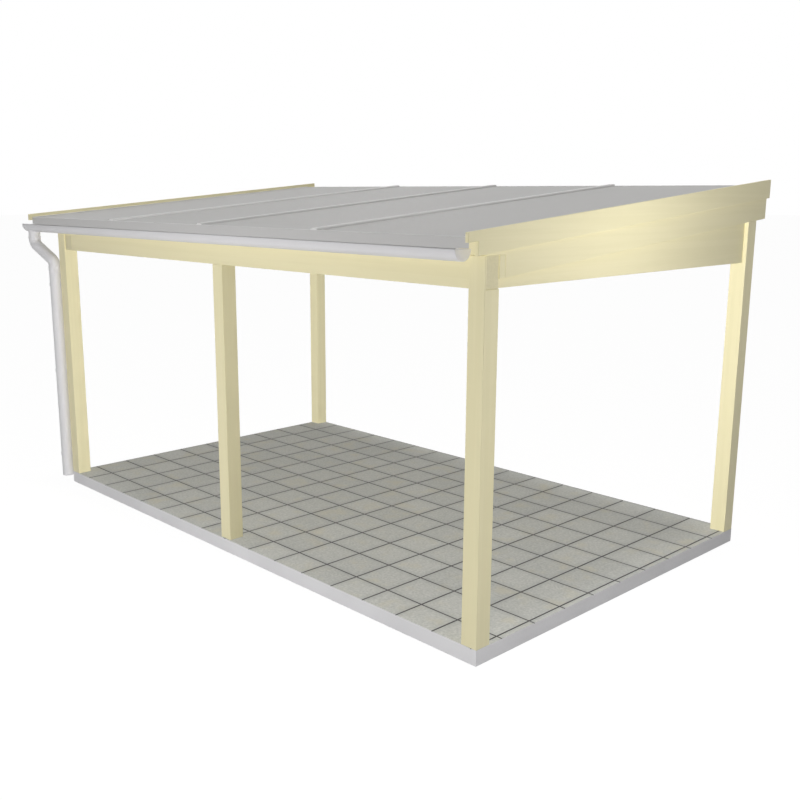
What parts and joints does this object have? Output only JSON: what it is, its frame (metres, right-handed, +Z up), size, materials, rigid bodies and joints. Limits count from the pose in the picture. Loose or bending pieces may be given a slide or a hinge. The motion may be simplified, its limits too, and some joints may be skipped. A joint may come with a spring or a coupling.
{
  "type": "garden room frame",
  "caption": "Open timber garden room frame with a low-pitched sheet roof, a half-round gutter and a downpipe, on a paved concrete base.",
  "frame": {"origin": "centre of the base slab's underside", "axes": "+X along the front to its right-hand end, +Y back to the rear posts, +Z up"},
  "size_m": [5.3585, 3.268, 2.7193],
  "materials": {
    "concrete": "matt, with grey paving tiles on top",
    "timber": "pale yellow paint or pale planed timber, satin",
    "strip": "matt",
    "bar_metal": "satin, pale grey",
    "roof_sheet": "smooth grey",
    "rainwater": "semi-gloss, off-white"
  },
  "bodies": {
    "root": {"base_slab": "concrete", "front_left_post": "timber", "front_middle_post": "timber", "front_right_post": "timber", "rear_left_post": "timber", "rear_right_post": "timber", "front_beam": "timber", "header_board": "timber", "rear_beam": "timber", "left_side_beam": "timber", "right_side_beam": "timber", "left_rafter": "timber", "rafter_1": "timber", "rafter_2": "timber", "rafter_3": "timber", "right_rafter": "timber", "verge_rafter": "timber", "verge_noggins": "timber", "fascia_board": "timber", "left_barge_board": "timber", "right_barge_board": "timber", "left_rafter_strip": "strip", "left_edge_bar": "bar_metal", "right_edge_bar": "bar_metal", "glazing_bar_1": "bar_metal", "glazing_bar_2": "bar_metal", "glazing_bar_3": "bar_metal", "roof_front_trim": "bar_metal", "roof_rear_trim": "bar_metal", "roof_sheet_1": "roof_sheet", "roof_sheet_2": "roof_sheet", "roof_sheet_3": "roof_sheet", "roof_sheet_4": "roof_sheet", "gutter": "rainwater", "gutter_left_cap": "rainwater", "gutter_right_cap": "rainwater", "gutter_hangers": "rainwater", "gutter_outlet": "rainwater", "neck_upper_bend": "rainwater", "neck_pipe": "rainwater", "neck_lower_bend": "rainwater", "downpipe": "rainwater", "pipe_clips": "rainwater"}
  },
  "joints": []
}
